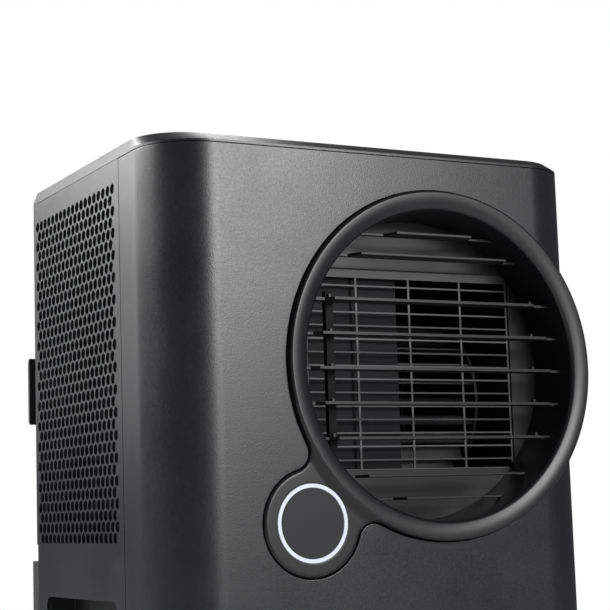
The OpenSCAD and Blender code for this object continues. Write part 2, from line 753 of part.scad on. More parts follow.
// Finned block with end plates and return bends; axis of the tubes along X.
module coil(x0, x1, y0, z0, h) {
  n = floor((x1 - x0 - 4) / 7);
  translate([0, 0, z0]) linear_extrude(h) {
    translate([x0, y0 + coil_t / 2 - 1]) square([x1 - x0, 2]);
    for (i = [0:n]) translate([x0 + 1.5 + i * 7, y0]) square([1.2, coil_t]);
  }
  for (x = [x0, x1 - 2]) box(x, x + 2, y0, y0 + coil_t, z0, z0 + h);
  bends = floor(h / 44);
  for (s = [-1, 1], j = [0:bends - 1])
    translate([s < 0 ? x0 + 0.5 : x1 - 0.5, y0 + coil_t / 2, z0 + 24 + 44 * j + (s < 0 ? 0 : 10)])
      rotate([90, 0, 0]) rotate(s < 0 ? 90 : -90) rotate_extrude(angle = 180)
        translate([8, 0]) circle(r = 3.5, $fn = 24);
}

module evaporator() color("#b9bcc0") rig()
  coil(-evap_w / 2, evap_w / 2, body_d - wall - filter_t - 5 - coil_t, deck_z, evap_h);

module condenser() color("#b9bcc0") rig()
  coil(cond_coil_x0, cond_coil_x1, low_d - inner - rim_t - 1 - coil_t, skirt_z, cond_coil_h);

// ---------- lower machinery ----------

module mid_deck() color("#202124") rig() difference() {
  union() {
    translate([0, 0, deck_z - deck_t]) linear_extrude(deck_t) plan(inner, low_d);
    translate([0, 0, deck_z - 1]) linear_extrude(11) plan_ring(inner, 2.5, low_d);
  }
  along_y(-1, plate_back + 5) outlet_outline(9);
  translate([tank_x, comp_y, 0]) cylinder(r = 5, h = body_h);
  translate([supply_x, low_d - inner - rim_t - 1 - coil_t / 2, 0]) cylinder(r = 5, h = body_h);
}

module condenser_scroll() color("#1a1b1d") rig() difference() {
  union() {
    translate([cond_x, 0, cond_z]) along_y(cond_y0, cond_y1 - cond_y0)
      scroll(cond_r0, cond_r1, cond_mouth_h, cond_mouth_l);
    for (x = [cond_x - 34, cond_x + 28]) box(x, x + 6, cond_y0, cond_y1, skirt_z, cond_z - cond_r0);
  }
  translate([cond_x, 0, cond_z]) along_y(cond_y0 + shell, cond_y1 - cond_y0 - 2 * shell)
    scroll(cond_r0, cond_r1, cond_mouth_h, cond_mouth_l, shell);
  rod_y(cond_x, cond_y1 - shell - 1, shell + 2, cond_z, 64);
  rod_y(cond_x, cond_y0 - 1, shell + 2, cond_z, shaft_r + 2);
}

module condenser_wheel() color("#2b2c30") rig() translate([cond_x, cond_y0 + shell + 4, cond_z])
  rotate([-90, 0, 0]) fan_wheel(cond_fan_r, cond_y1 - cond_y0 - 2 * shell - 8, 24, 45);

module condenser_motor() color("#7d7f83") rig() translate([cond_x, cond_y0 - 60, cond_z])
  rotate([-90, 0, 0]) motor_body(40, 60);

module exhaust_duct() color("#26272a") rig() difference() {
  box(duct_x0, duct_x1, cond_y0, duct_y1, duct_z0, duct_z1);
  box(duct_x0 + 2, duct_x1 - 2, cond_y0 + 2, duct_y1 - 2, duct_z0 + 2, duct_z1 - 2);
  box(duct_x0 - 1, duct_x0 + 3, cond_y0 + shell, cond_y1 - shell, cond_z + cond_r1 - cond_mouth_h + shell,
    cond_z + cond_r1 - shell);
  rod_y(spout_x, duct_y1 - 3, 4, spout_z, spout_r - 1);
}

module exhaust_spout() color("#2c2d32") rig() difference() {
  union() {
    rod_y(spout_x, duct_y1, spout_end - duct_y1, spout_z, spout_r + spout_wall);
    rod_y(spout_x, bulge_y - 5.1, 2.5, spout_z, spout_r + spout_wall + 7);
  }
  rod_y(spout_x, duct_y1 - 1, spout_end - duct_y1 + 2, spout_z, spout_r);
}

module compressor() color("#1c1d1f") rig() {
  translate([comp_x, comp_y, comp_z]) {
    difference() {
      rotate_extrude() polygon(concat([[0, 0], [comp_r - 14, 0]],
        arc(comp_r - 14, 14, 14, -90, 0), arc(comp_r - 22, comp_h - 22, 22, 0, 90), [[0, comp_h]]));
      translate([0, 0, 5]) cylinder(r = comp_r - 5, h = comp_h - 30);
    }
    translate([0, 0, comp_h - 1]) cylinder(r = 5, h = 16);
    translate([comp_r - 2, -5, 90]) cube([8, 10, 20]);
    translate([tank_x - comp_x, 0, tank_z - comp_z]) cylinder(r = 22, h = tank_h);
    difference() {
      union() {
        translate([0, 0, -4]) cylinder(r = comp_r - 12, h = 4.5);
        for (a = [30, 150, 270]) rotate(a) translate([0, -13, -4]) cube([comp_foot + 12, 26, 4]);
      }
      for (a = [30, 150, 270]) rotate(a) translate([comp_foot, 0, -5]) cylinder(r = 4.3, h = 6);
    }
  }
}

module compressor_mounts() color("#111214") rig() for (a = [30, 150, 270])
  translate([comp_x, comp_y, 0]) rotate(a) translate([comp_foot, 0, 0]) {
    translate([0, 0, skirt_z]) cylinder(r = 9, h = comp_z - 4 - skirt_z);
    translate([0, 0, comp_z - 5]) cylinder(r = 4.1, h = 6);
    translate([0, 0, comp_z]) cylinder(r = 7, h = 3);
  }

module refrigerant_pipes() color("#b87333") rig() {
  coil_y = low_d - inner - rim_t - 1 - coil_t / 2;
  pipe_z = deck_z - deck_t - 8;
  tube([[comp_x, comp_y, comp_z + comp_h + 15], [comp_x, comp_y, pipe_z], [comp_x, coil_y, pipe_z],
    [10, coil_y, pipe_z], [10, coil_y, skirt_z + cond_coil_h]], 4);
  tube([[tank_x, comp_y, tank_z + tank_h], [tank_x, comp_y, deck_z + 22],
    [tank_x, body_d - wall - filter_t - 5 - coil_t, deck_z + 22]], 4);
  tube([[supply_x, coil_y, skirt_z + cond_coil_h], [supply_x, coil_y, deck_z]], 3);
}

module control_box() color("#d8d8d4") rig() {
  z0 = box_z1 - box_h;
  difference() {
    box(box_x0, box_x0 + box_l, box_y1 - 70, box_y1, z0, box_z1);
    box(box_x0 + 2, box_x0 + box_l - 2, box_y1 - 71, box_y1 - 2, z0 + 2, box_z1 - 2);
  }
  for (x = [box_x0 + 13, box_x0 + 93], z = [z0 + 14, box_z1 - 14]) rod_y(x, box_y1 - 8, 6.5, z, 3);
}

module main_board() color("#2f5b3a") rig() translate([box_x0, box_y1, box_z1]) {
  box(7, 101, -9.6, -8, -102, -8);
  box(13, 43, -28, -9.4, -98, -66);
  for (k = [0:2]) box(53 + 15 * k, 64 + 15 * k, -24, -9.4, -40, -20);
  box(53, 93, -20, -9.4, -90, -80);
}

module capacitor() color("#c9cbd0") rig()
  translate([box_x0 + 113, box_y1 - 42, box_z1 - box_h + 2]) cylinder(r = 14, h = 70);

// ---------- casters ----------

function caster_pos(c) =
  [(c[1] == "l" ? -1 : 1) * (hw - caster_side), c[0] == "f" ? caster_front : caster_rear, 0];

module caster_fork(c) color("#1b1c1f") rig() translate(caster_pos(c)) {
  translate([0, 0, fork_top]) cylinder(r = stem_r, h = fork_t + 6 + stem_l + 2.3);
  translate([0, 0, fork_top]) cylinder(r = 10, h = fork_t + 5.9);
  translate([0, 0, pocket_z + stem_l + 0.3]) cylinder(r = stem_r + 1.2, h = 2);
  difference() {
    union() {
      translate([0, 0, fork_top]) cylinder(r = 16, h = fork_t);
      for (s = [-1, 1]) translate([s < 0 ? -wheel_w / 2 - 1 - cheek_t : wheel_w / 2 + 1, 0, 0])
        rotate([90, 0, 90]) linear_extrude(cheek_t) polygon([[-8, fork_top + 2], [12, fork_top + 2],
          [trail + 7, wheel_r + 6], [trail + 7, wheel_r - 7], [trail - 7, wheel_r - 7], [-8, fork_top - 8]]);
    }
    rod_x(-20, 40, trail, wheel_r, axle_r + 0.02);
  }
}

module caster_wheel(c) color("#2a2b2e") rig() translate(caster_pos(c) + [-wheel_w / 2, trail, wheel_r])
  rotate([0, 90, 0]) rotate_extrude() polygon([[axle_r + run_fit, 0], [axle_r + 3, 0], [axle_r + 3, 4],
    [wheel_r - 6, 4], [wheel_r - 6, 0.5], [wheel_r - 2, 0.5], [wheel_r, 2.5], [wheel_r, wheel_w - 2.5],
    [wheel_r - 2, wheel_w - 0.5], [wheel_r - 6, wheel_w - 0.5], [wheel_r - 6, wheel_w - 4],
    [axle_r + 3, wheel_w - 4], [axle_r + 3, wheel_w], [axle_r + run_fit, wheel_w]]);

module caster_axle(c) color("#a9abae") rig() translate(caster_pos(c)) {
  half = wheel_w / 2 + 1 + cheek_t;
  rod_x(-half, 2 * half, trail, wheel_r, axle_r);
  for (x = [-half - 1, half]) rod_x(x, 1, trail, wheel_r, axle_r + 1.2);
}

// ---------- assembly ----------

base_tray();
front_cover();
side_panel(-1);  // side_panel_left
side_panel(1);  // side_panel_right
rear_grille();
lower_rear_cover();
top_cover();
control_panel();
outlet_collar();
light_ring();
power_button();
button_board();
collar_insert();
fixed_fins();
for (i = [1:5]) louver(i);
louver_link();
swing_motor();
outlet_guard();
outlet_baffle();
handle_cup(-1);  // handle_cup_left
handle_cup(1);  // handle_cup_right
cable_hook(-1);  // cable_hook_left
cable_hook(1);  // cable_hook_right
exhaust_spout();
exhaust_duct();
power_inlet();
drain_plug();
air_filter();
evaporator();
condenser();
blower_housing();
blower_wheel();
blower_motor();
condenser_scroll();
condenser_wheel();
condenser_motor();
mid_deck();
compressor();
compressor_mounts();
refrigerant_pipes();
control_box();
main_board();
capacitor();
case_screws();
for (c = ["fl", "fr", "rl", "rr"]) {
  caster_fork(c);
  caster_wheel(c);
  caster_axle(c);
}
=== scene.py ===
import json
import math

import bmesh
import bpy
from mathutils import Matrix, Vector, geometry

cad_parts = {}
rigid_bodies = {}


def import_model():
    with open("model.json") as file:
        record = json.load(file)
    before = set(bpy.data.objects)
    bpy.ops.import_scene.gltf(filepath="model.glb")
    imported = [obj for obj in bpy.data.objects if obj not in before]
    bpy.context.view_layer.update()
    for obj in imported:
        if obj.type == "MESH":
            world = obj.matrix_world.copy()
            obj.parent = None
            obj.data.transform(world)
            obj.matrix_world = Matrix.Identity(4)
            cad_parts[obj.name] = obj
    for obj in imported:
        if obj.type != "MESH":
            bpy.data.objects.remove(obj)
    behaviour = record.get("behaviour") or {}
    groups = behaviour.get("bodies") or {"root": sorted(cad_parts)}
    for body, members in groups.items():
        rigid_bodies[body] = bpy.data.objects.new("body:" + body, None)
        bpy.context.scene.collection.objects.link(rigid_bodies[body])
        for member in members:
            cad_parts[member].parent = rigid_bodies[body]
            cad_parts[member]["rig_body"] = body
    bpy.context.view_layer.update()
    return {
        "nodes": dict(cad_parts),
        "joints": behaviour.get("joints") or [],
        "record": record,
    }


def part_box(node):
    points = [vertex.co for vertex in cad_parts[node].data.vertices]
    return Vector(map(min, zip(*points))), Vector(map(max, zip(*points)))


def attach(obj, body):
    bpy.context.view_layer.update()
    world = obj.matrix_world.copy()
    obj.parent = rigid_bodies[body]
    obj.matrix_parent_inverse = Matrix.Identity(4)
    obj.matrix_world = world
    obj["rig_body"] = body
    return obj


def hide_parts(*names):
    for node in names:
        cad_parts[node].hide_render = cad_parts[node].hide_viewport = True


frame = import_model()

NODES = frame["nodes"]
SLOTS = {s["node"]: s["material_slot"] for s in frame["record"]["subparts"]}
MM = 0.001

# Places taken from the CAD model, in metres.
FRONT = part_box("front_cover")[0].y
COLLAR_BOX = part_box("outlet_collar")
INSERT_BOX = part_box("collar_insert")
SWING_X = next(j for j in frame["joints"] if j["name"] == "louver_swing")["pos_m"][0]
AXIS = Vector((SWING_X, 0, (INSERT_BOX[0].z + INSERT_BOX[1].z) / 2))
BUTTON = (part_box("power_button")[0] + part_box("power_button")[1]) / 2

# From here on lengths are in millimetres, angles in degrees, and y runs back from the casing's front face.
AX, AZ = AXIS.x / MM, AXIS.z / MM
BX, BZ = BUTTON.x / MM, BUTTON.z / MM
REACH = math.hypot(BUTTON.x - AXIS.x, BUTTON.z - AXIS.z) / MM
LOBE_TURN = math.atan2(BUTTON.z - AXIS.z, BUTTON.x - AXIS.x)

# The casing's front cover.
FRONT_R = 57.0          # its upright corners
WALL = 3.0
COVER_EDGE = 0.7        # the small radius round the sheet's border and its opening
COLLAR_GAP = 0.9        # between the opening and the collar
EDGE_CURVE = ((0.62, 0.08), (0.29, 0.29), (0.08, 0.62), (0.0, 1.0))    # a quarter turn, radius 1

# The outlet: a collar whose rim falls off to a lobe with the button.
COLLAR_R = (COLLAR_BOX[1].x - AXIS.x) / MM
COLLAR_D = (COLLAR_BOX[1].y - FRONT) / MM
LIP_Y = (COLLAR_BOX[0].y - FRONT) / MM
SKIN = 2.5
CREST_R = 155.5         # the rim's foremost line
CREST_FALL = 9.0        # the width in which the skin falls from that line to the lobe
LOBE_SPAN = (17, 30)    # the fall dies away between these angles from the lobe's middle
RIM_R, RIM_END = 30.0, 22       # the rim's broad curve and the angle where it ends
ROLL_R, ROLL_END = 5.0, 84      # the tight curve into the throat
RIM_ANGLES = (3, 6, 9, 12, 15, 18, 22, 30, 39, 48, 57, 66, 75, ROLL_END)
RIM_BACK_ANGLES = (ROLL_END, 66, 48, 32, 22, 14, 7)
THROAT_R = 140.0
THROAT_FLARE, FLARE_Y, STRAIGHT_Y, THROAT_EDGE = 0.8, 9.0, 20.0, 0.4
CORNER = 2.5            # the skin's outer edge; 1 mm more round the lobe
CORNER_SPAN = (4, 26)   # that growth happens so far outside the collar's radius
CORNER_ANGLES = (0, 10, 20, 32, 45, 58, 70, 80, 90)
LOBE_R, LOBE_Y, LOBE_BACK = 47.0, -0.8, 5.7
NECK_R = 16.0           # the hollow curves between collar and lobe
RING_HOLE, HOLE_EDGE, HOLE_ROUND, HOLE_BACK = 34.2, 0.5, 0.15, 0.2
OUTER_INSET, OUTER_Y = 0.05, 3.0
COLLAR_STEPS, HOLE_STEPS, POST_STEPS = 240, 96, 20

# Posts that carry the button's board.
POST_ANGLES = (125, 190, 260, 325)
POST_CIRCLE, POST_R, POST_TIP, POST_EDGE, POST_Y = 41, 2.5, 0.01, 0.3, 1.2
BOARD_FACE = 2.3        # the board's face, behind the foremost of what it carries

# Pleated cloths.
CLOTH_THICK, CLOTH_LEVELS = 0.25, 24
PANEL_PLEATS, FILTER_PLEATS = (3.0, 0.5), (2.5, 0.8)    # pitch and depth


# ---------- materials ----------

def tree(name):
    """A new material and its node tree, emptied, with a Principled shader on the output."""
    made = bpy.data.materials.new(name)
    made.use_nodes = True
    nodes, links = made.node_tree.nodes, made.node_tree.links
    nodes.clear()
    out = nodes.new("ShaderNodeOutputMaterial")
    shader = nodes.new("ShaderNodeBsdfPrincipled")
    links.new(shader.outputs["BSDF"], out.inputs["Surface"])
    place = nodes.new("ShaderNodeTexCoord")
    return made, nodes, links, shader, place.outputs["Object"]


def noise_of(nodes, links, place, scale, detail=3.0, rough=0.55, distortion=0.0):
    """Cloudy noise, about 0.5 in the middle."""
    made = nodes.new("ShaderNodeTexNoise")
    made.inputs["Scale"].default_value = scale
    made.inputs["Detail"].default_value = detail
    made.inputs["Roughness"].default_value = rough
    made.inputs["Distortion"].default_value = distortion
    links.new(place, made.inputs["Vector"])
    return made.outputs["Fac"]


def spread(nodes, links, value, low, high, start=0.3, end=0.7):
    """The value's range from start to end, mapped to low and high."""
    made = nodes.new("ShaderNodeMapRange")
    made.inputs["From Min"].default_value = start
    made.inputs["From Max"].default_value = end
    made.inputs["To Min"].default_value = low
    made.inputs["To Max"].default_value = high
    links.new(value, made.inputs["Value"])
    return made.outputs["Result"]


def blend_tones(nodes, links, value, first, second):
    """A colour between first, where the value is 0, and second, where it is 1."""
    made = nodes.new("ShaderNodeMix")
    made.data_type = "RGBA"
    for socket in made.inputs:
        if socket.name == "A" and socket.type == "RGBA":
            socket.default_value = (*first, 1)
        if socket.name == "B" and socket.type == "RGBA":
            socket.default_value = (*second, 1)
    links.new(value, made.inputs["Factor"])
    return next(s for s in made.outputs if s.type == "RGBA")


def product(nodes, links, a, b, how="MULTIPLY"):
    """A Math node over two sockets or numbers."""
    made = nodes.new("ShaderNodeMath")
    made.operation = how
    for socket, value in zip(made.inputs, (a, b)):
        if isinstance(value, (int, float)):
            socket.default_value = value
        else:
            links.new(value, socket)
    return made.outputs["Value"]


def cells_of(nodes, links, place, scale, feature="F1", smooth=None):
    """Distances in a pattern of cells."""
    made = nodes.new("ShaderNodeTexVoronoi")
    made.feature = feature
    made.inputs["Scale"].default_value = scale
    if smooth is not None:
        made.inputs["Smoothness"].default_value = smooth
    links.new(place, made.inputs["Vector"])
    return made.outputs["Distance"]


def lines_of(nodes, links, place, scale, axis, distortion=0.0, detail=2.0):
    """Bands that follow each other along an axis."""
    made = nodes.new("ShaderNodeTexWave")
    made.wave_type = "BANDS"
    made.bands_direction = axis
    made.wave_profile = "SIN"
    made.inputs["Scale"].default_value = scale
    made.inputs["Distortion"].default_value = distortion
    made.inputs["Detail"].default_value = detail
    links.new(place, made.inputs["Vector"])
    return made.outputs["Fac"]


def surfaced(nodes, links, shader, tone, gloss, height, depth, strength):
    """Puts colour, roughness and relief on the shader."""
    links.new(tone, shader.inputs["Base Color"])
    links.new(gloss, shader.inputs["Roughness"])
    bump = nodes.new("ShaderNodeBump")
    bump.inputs["Distance"].default_value = depth
    bump.inputs["Strength"].default_value = strength
    links.new(height, bump.inputs["Height"])
    links.new(bump.outputs["Normal"], shader.inputs["Normal"])


# Noise scales; the last two are shares of the grain's.
CLOUD_SCALE, SPECK_SHARE, FINE_SHARE = 14.0, 0.45, 0.7
TONE_RANGE = (0.35, 0.65)


def moulded(name, dark, light, rough, grain, depth, strength, cells=False, metal=0.0, specular=0.5,
            coat=0.0, coat_rough=0.1, glow=None, streaks=None):
    """Plastic, paint or metal: two close tones, uneven gloss and a fine relief.

    cells makes a leather-like grain; streaks=(axis, scale) draws the fine lines of rolling or turning.
    """
    made, nodes, links, shader, place = tree(name)
    clouds = noise_of(nodes, links, place, CLOUD_SCALE, detail=4.0, rough=0.6)
    specks = noise_of(nodes, links, place, grain * SPECK_SHARE, rough=0.6)
    mixed = product(nodes, links, product(nodes, links, clouds, specks, "ADD"), 0.5)
    tone = blend_tones(nodes, links, spread(nodes, links, mixed, 0.0, 1.0, *TONE_RANGE), dark, light)
    gloss = spread(nodes, links, mixed, *rough, *TONE_RANGE)
    if streaks:
        axis, scale = streaks
        height = lines_of(nodes, links, place, scale, axis, distortion=6.0, detail=3.0)
        fine = noise_of(nodes, links, place, grain, detail=2.0)
        height = product(nodes, links, product(nodes, links, height, 0.6), fine, "ADD")
    elif cells:
        pores = cells_of(nodes, links, place, grain, "SMOOTH_F1", smooth=0.6)
        fine = noise_of(nodes, links, place, grain * FINE_SHARE, rough=0.6, distortion=0.3)
        height = product(nodes, links, pores, product(nodes, links, fine, 0.8), "ADD")
    else:
        height = noise_of(nodes, links, place, grain, rough=0.6)
    surfaced(nodes, links, shader, tone, gloss, height, depth, strength)
    shader.inputs["Metallic"].default_value = metal
    shader.inputs["Specular IOR Level"].default_value = specular
    shader.inputs["Coat Weight"].default_value = coat
    shader.inputs["Coat Roughness"].default_value = coat_rough
    if glow:
        colour, power = glow
        shader.inputs["Emission Color"].default_value = (*colour, 1)
        shader.inputs["Emission Strength"].default_value = power
    return made


def board_material():
    """Solder mask over tracks, with rows of pale pads."""
    made, nodes, links, shader, place = tree("board")
    tracks = cells_of(nodes, links, place, 160.0, "DISTANCE_TO_EDGE")
    edge = spread(nodes, links, tracks, 1.0, 0.0, start=0.03, end=0.06)
    tone = blend_tones(nodes, links, edge, (0.012, 0.09, 0.035), (0.03, 0.2, 0.08))
    pads = cells_of(nodes, links, place, 330.0)
    spot = spread(nodes, links, pads, 1.0, 0.0, start=0.16, end=0.2)
    both = nodes.new("ShaderNodeMix")
    both.data_type = "RGBA"
    links.new(spot, both.inputs["Factor"])
    colours = [s for s in both.inputs if s.type == "RGBA"]
    links.new(tone, colours[0])
    colours[1].default_value = (0.5, 0.5, 0.48, 1)
    out = next(s for s in both.outputs if s.type == "RGBA")
    gloss = spread(nodes, links, noise_of(nodes, links, place, 60.0), 0.3, 0.45)
    surfaced(nodes, links, shader, out, gloss, edge, depth=0.00005, strength=0.6)
    return made


def mesh_material():
    """Woven filter mesh."""
    made, nodes, links, shader, place = tree("filter")
    warp = lines_of(nodes, links, place, 160.0, "X", detail=0.0)
    weft = lines_of(nodes, links, place, 160.0, "Z", detail=0.0)
    weave = product(nodes, links, warp, weft, "MAXIMUM")
    tone = blend_tones(nodes, links, weave, (0.03, 0.032, 0.036), (0.09, 0.093, 0.10))
    gloss = spread(nodes, links, weave, 0.75, 0.55, start=0.0, end=1.0)
    surfaced(nodes, links, shader, tone, gloss, weave, depth=0.0002, strength=0.8)
    return made


def coil_material():
    """Aluminium fins, with painted shade as the fine dark gaps between them."""
    made, nodes, links, shader, place = tree("coil")
    fins = lines_of(nodes, links, place, 90.0, "X", detail=0.0)
    cloud = noise_of(nodes, links, place, 30.0, detail=4.0)
    mixed = product(nodes, links, fins, cloud)
    # painted shade: the dark tone in the bands between the fins stands for shade in the gaps, and the light
    # tone is the fins' metal
    tone = blend_tones(nodes, links, mixed, (0.16, 0.17, 0.19), (0.72, 0.74, 0.78))
    gloss = spread(nodes, links, cloud, 0.3, 0.5)
    surfaced(nodes, links, shader, tone, gloss, fins, depth=0.0002, strength=0.5)
    shader.inputs["Metallic"].default_value = 0.85
    return made


MATERIALS = {
    "cover_plastic": moulded(
        "cover", dark=(0.0070, 0.0070, 0.0090), light=(0.0105, 0.0105, 0.0132), rough=(0.30, 0.38),
        grain=760.0, depth=0.00010, strength=0.4, cells=True),
    "dark_plastic": moulded(
        "dark", dark=(0.0055, 0.0055, 0.0062), light=(0.0095, 0.0095, 0.0105), rough=(0.5, 0.65),
        grain=1100.0, depth=0.00006, strength=0.35),
    "collar_plastic": moulded(
        "collar", dark=(0.0050, 0.0050, 0.0065), light=(0.0080, 0.0080, 0.0098), rough=(0.32, 0.40),
        grain=1500.0, depth=0.00002, strength=0.2, specular=0.42),
    "blade_plastic": moulded(
        "blade", dark=(0.0060, 0.0060, 0.0066), light=(0.0100, 0.0100, 0.0108), rough=(0.34, 0.46),
        grain=1300.0, depth=0.00004, strength=0.3, specular=0.36),
    "link_plastic": moulded(
        "link", dark=(0.0016, 0.0016, 0.0018), light=(0.0030, 0.0030, 0.0034), rough=(0.55, 0.68),
        grain=1300.0, depth=0.00004, strength=0.3, specular=0.12),
    "ring_light": moulded(
        "light", dark=(0.46, 0.47, 0.52), light=(0.52, 0.53, 0.58), rough=(0.4, 0.5),
        grain=700.0, depth=0.00001, strength=0.1, glow=((0.84, 0.87, 1.0), 0.22)),
    "button_plastic": moulded(
        "button", dark=(0.008, 0.008, 0.0105), light=(0.012, 0.012, 0.0155), rough=(0.42, 0.52),
        grain=1400.0, depth=0.00003, strength=0.25, specular=0.3),
    "panel_gloss": moulded(
        "panel", dark=(0.003, 0.003, 0.004), light=(0.006, 0.006, 0.007), rough=(0.06, 0.12),
        grain=400.0, depth=0.000005, strength=0.1, coat=0.6, coat_rough=0.04),
    "circuit_board": board_material(),
    "motor_steel": moulded(
        "motor", dark=(0.34, 0.35, 0.37), light=(0.5, 0.51, 0.53), rough=(0.28, 0.42),
        grain=900.0, depth=0.00003, strength=0.3, metal=0.9, streaks=("X", 300.0)),
    "guard_paint": moulded(
        "guard", dark=(0.045, 0.045, 0.048), light=(0.070, 0.070, 0.074), rough=(0.38, 0.50),
        grain=1200.0, depth=0.00004, strength=0.3),
    "baffle_paint": moulded(
        "baffle", dark=(0.006, 0.006, 0.0075), light=(0.014, 0.014, 0.017), rough=(0.55, 0.7),
        grain=500.0, depth=0.00005, strength=0.3, streaks=("X", 60.0), specular=0.15),
    "wheel_plastic": moulded(
        "wheel", dark=(0.012, 0.012, 0.014), light=(0.022, 0.022, 0.024), rough=(0.42, 0.55),
        grain=1000.0, depth=0.00005, strength=0.3),
    "coil_aluminium": coil_material(),
    "compressor_paint": moulded(
        "shell", dark=(0.008, 0.008, 0.009), light=(0.014, 0.014, 0.015), rough=(0.22, 0.34),
        grain=500.0, depth=0.00012, strength=0.4),
    "black_rubber": moulded(
        "rubber", dark=(0.008, 0.008, 0.009), light=(0.014, 0.014, 0.015), rough=(0.7, 0.85),
        grain=900.0, depth=0.00008, strength=0.45),
    "pipe_copper": moulded(
        "copper", dark=(0.45, 0.18, 0.08), light=(0.68, 0.32, 0.17), rough=(0.22, 0.4),
        grain=700.0, depth=0.00004, strength=0.3, metal=1.0, streaks=("Z", 200.0)),
    "box_paint": moulded(
        "box", dark=(0.50, 0.50, 0.48), light=(0.60, 0.60, 0.58), rough=(0.4, 0.52),
        grain=700.0, depth=0.0001, strength=0.35),
    "can_aluminium": moulded(
        "can", dark=(0.52, 0.53, 0.55), light=(0.66, 0.67, 0.69), rough=(0.25, 0.38),
        grain=800.0, depth=0.00003, strength=0.3, metal=1.0, streaks=("Z", 260.0)),
    "bright_steel": moulded(
        "steel", dark=(0.46, 0.47, 0.48), light=(0.6, 0.61, 0.62), rough=(0.22, 0.34),
        grain=900.0, depth=0.00003, strength=0.3, metal=1.0, streaks=("Y", 320.0)),
    "caster_plastic": moulded(
        "caster", dark=(0.010, 0.010, 0.011), light=(0.018, 0.018, 0.020), rough=(0.45, 0.6),
        grain=1000.0, depth=0.00006, strength=0.35),
    "caster_tread": moulded(
        "tread", dark=(0.016, 0.016, 0.018), light=(0.028, 0.028, 0.030), rough=(0.5, 0.68),
        grain=700.0, depth=0.0001, strength=0.45),
    "filter_mesh": mesh_material(),
}


# ---------- mesh tools ----------

MERGE, CAD_MERGE = 1e-7, 2e-7           # metres; points closer than this become one
FLAT_ANGLE = 0.4        # CAD faces this close to one plane become one
NEAR = 1e-4             # the triangulation's tolerance
ROUNDED_SHARP, COVER_SHARP, COLLAR_SHARP = 34.0, 40.0, 42.0     # edges above these angles stay sharp
ROUNDED_WEIGHT, SHEET_WEIGHT = 60, 50
LOBE_STEPS, NECK_STEPS, RIM_STEPS = 60, 14, 170         # along the arcs of the outlet's outline


def point(x, y, z):
    """A point in metres from millimetres, with y counted from the casing's front face."""
    return Vector((x * MM, FRONT + y * MM, z * MM))


class Shell:
    """Collects the points and faces of one closed piece."""

    def __init__(self):
        self.points, self.faces = [], []

    def add(self, points):
        """Adds points and gives their numbers."""
        first = len(self.points)
        self.points.extend(points)
        return list(range(first, len(self.points)))

    def ring(self, flat, y):
        """Adds flat points (x, z) at one y."""
        return self.add([point(x, y, z) for x, z in flat])

    def strip(self, a, b, closed=True):
        """Faces between two rows of as many points."""
        n = len(a)
        for i in range(n if closed else n - 1):
            j = (i + 1) % n
            self.faces.append((a[i], a[j], b[j], b[i]))

    def rows(self, rows, closed=True):
        """Faces between each row and the next."""
        for a, b in zip(rows, rows[1:]):
            self.strip(a, b, closed)

    def mesh(self, name):
        """The finished mesh, with its faces turned outward."""
        mesh = bpy.data.meshes.new(name)
        mesh.from_pydata(self.points, [], self.faces)
        bm = bmesh.new()
        bm.from_mesh(mesh)
        bmesh.ops.remove_doubles(bm, verts=bm.verts, dist=MERGE)
        bmesh.ops.dissolve_degenerate(bm, dist=MERGE, edges=bm.edges)
        bmesh.ops.recalc_face_normals(bm, faces=bm.faces)
        bm.to_mesh(mesh)
        bm.free()
        return mesh


def linked(name, data):
    """A new object in the scene."""
    made = bpy.data.objects.new(name, data)
    bpy.context.scene.collection.objects.link(made)
    return made


def dressed(mesh, node, sharp):
    """Puts a mesh in place of a CAD node, with the node's finish, slot and body."""
    made = linked(node + "_shape", mesh)
    mesh.shade_smooth()
    mesh.set_sharp_from_angle(angle=math.radians(sharp))
    mesh.materials.clear()
    mesh.materials.append(MATERIALS[SLOTS[node]])
    for face in mesh.polygons:
        face.material_index = 0
    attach(made, NODES[node]["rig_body"])
    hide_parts(node)
    return made


def applied(made, *modifiers):
    """Bakes (type, settings) modifiers into the object's mesh."""
    for kind, settings in modifiers:
        modifier = made.modifiers.new(kind.lower(), kind)
        for key, value in settings.items():
            setattr(modifier, key, value)
    graph = bpy.context.evaluated_depsgraph_get()
    mesh = bpy.data.meshes.new_from_object(made.evaluated_get(graph))
    made.modifiers.clear()
    made.data = mesh
    return made


def weighted(weight):
    """The modifier that turns the normals of small faces to those of the large ones beside them."""
    return "WEIGHTED_NORMAL", {"keep_sharp": True, "weight": weight}


def refined(node, width, segments, angle):
    """The CAD node's own shape, with its edges sharper than angle rounded by width."""
    mesh = NODES[node].data.copy()
    bm = bmesh.new()
    bm.from_mesh(mesh)
    bmesh.ops.remove_doubles(bm, verts=bm.verts, dist=CAD_MERGE)
    bmesh.ops.dissolve_limit(bm, angle_limit=math.radians(FLAT_ANGLE), verts=bm.verts, edges=bm.edges)
    bm.to_mesh(mesh)
    bm.free()
    if mesh.has_custom_normals:
        mesh.attributes.remove(mesh.attributes["custom_normal"])
    made = dressed(mesh, node, ROUNDED_SHARP)
    bevel = {"width": width * MM, "segments": segments, "limit_method": "ANGLE",
             "angle_limit": math.radians(angle), "harden_normals": False, "use_clamp_overlap": True}
    return applied(made, ("BEVEL", bevel), weighted(ROUNDED_WEIGHT))


def triangles(points, loops, keep):
    """Triangles over flat points and closed loops of them, where keep(middle) holds."""
    edges = []
    for loop in loops:
        edges += [(loop[i], loop[(i + 1) % len(loop)]) for i in range(len(loop))]
    flat = [Vector(p) for p in points]
    out, _, faces, origin, _, _ = geometry.delaunay_2d_cdt(flat, edges, [], 0, NEAR)
    chosen = []
    for face in faces:
        middle = sum((out[i] for i in face), Vector((0, 0))) / len(face)
        if keep(middle):
            chosen.append(tuple(face))
    where = {}
    for new, olds in enumerate(origin):
        for old in olds:
            where[old] = new
    return out, chosen, where


